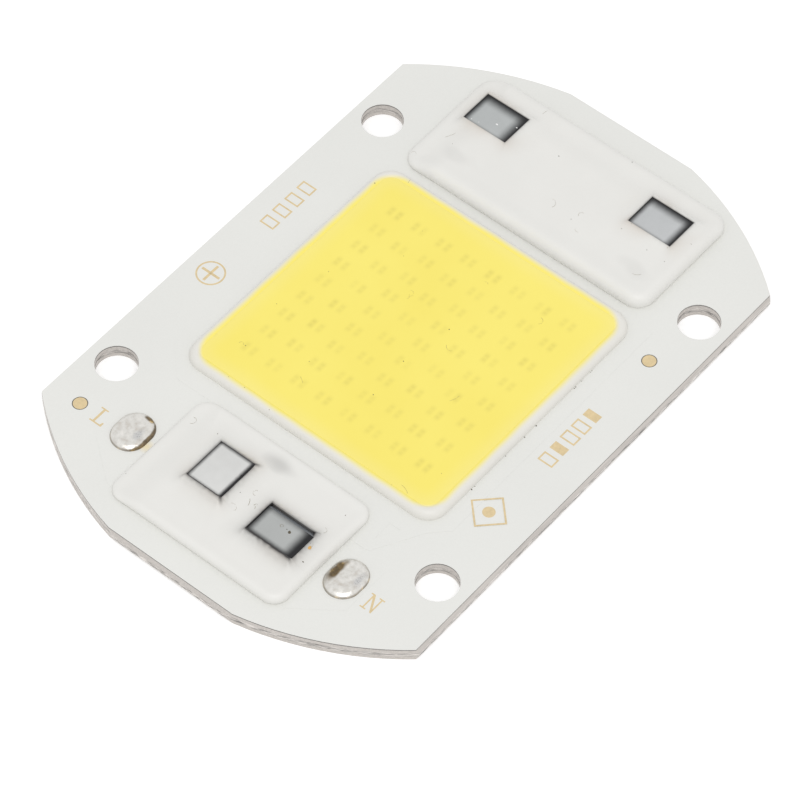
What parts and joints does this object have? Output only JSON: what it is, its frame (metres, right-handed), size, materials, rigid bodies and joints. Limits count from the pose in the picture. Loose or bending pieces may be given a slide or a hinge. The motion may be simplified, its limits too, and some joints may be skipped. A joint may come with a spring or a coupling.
{
  "type": "cob led module",
  "caption": "Mains chip-on-board LED module: aluminium board with turned ends, a square yellow phosphor field in a white dam, potted driver chips, mounting holes and solder terminals.",
  "frame": {"origin": "middle of the board's flat underside", "axes": "+X along the board's length away from the terminals, +Y toward the live terminal, +Z out of the emitting face"},
  "size_m": [0.0604, 0.0404, 0.0029],
  "materials": {
    "aluminium_core": "bare rolled sheet, matt, with snapped and routed edges",
    "insulating_layer": "ceramic-filled epoxy, cut edge only",
    "copper_foil": "etched copper foil, covered by the mask",
    "fiducial_copper": "bare copper dot with a thin protective film",
    "white_mask": "white reflective solder mask, satin",
    "led_chip": "flip chip on clear substrate, under the gel",
    "white_silicone": "white dispensed silicone, glossy",
    "phosphor_silicone": "yellow phosphor in clear silicone, glossy",
    "mould_compound": "black moulded epoxy",
    "tinned_lead": "tinned copper alloy leads and end caps",
    "resistor_ceramic": "chip resistor body",
    "solder": "tin solder, bright where it froze clean and grey where pitted"
  },
  "bodies": {
    "root": {"base_plate": "aluminium_core", "dielectric_layer": "insulating_layer", "copper_live": "copper_foil", "copper_neutral": "copper_foil", "copper_positive": "copper_foil", "copper_islands": "copper_foil", "copper_string_end": "copper_foil", "copper_ground": "copper_foil", "copper_sense": "copper_foil", "fiducial_dots": "fiducial_copper", "solder_mask": "white_mask", "led_row_1": "led_chip", "led_row_2": "led_chip", "led_row_3": "led_chip", "led_row_4": "led_chip", "led_row_5": "led_chip", "led_row_6": "led_chip", "led_row_7": "led_chip", "led_row_8": "led_chip", "led_dam": "white_silicone", "phosphor_gel": "phosphor_silicone", "near_potting": "white_silicone", "far_potting": "white_silicone", "bridge_rectifier": "mould_compound", "bridge_leads": "tinned_lead", "driver_ic_near": "mould_compound", "driver_ic_far_left": "mould_compound", "driver_ic_far_right": "mould_compound", "driver_leads_near": "tinned_lead", "driver_leads_far_left": "tinned_lead", "driver_leads_far_right": "tinned_lead", "resistor_near": "resistor_ceramic", "resistor_far_left": "resistor_ceramic", "resistor_far_right": "resistor_ceramic", "resistor_caps": "tinned_lead", "solder_joints": "solder", "solder_live": "solder", "solder_neutral": "solder"}
  },
  "joints": []
}
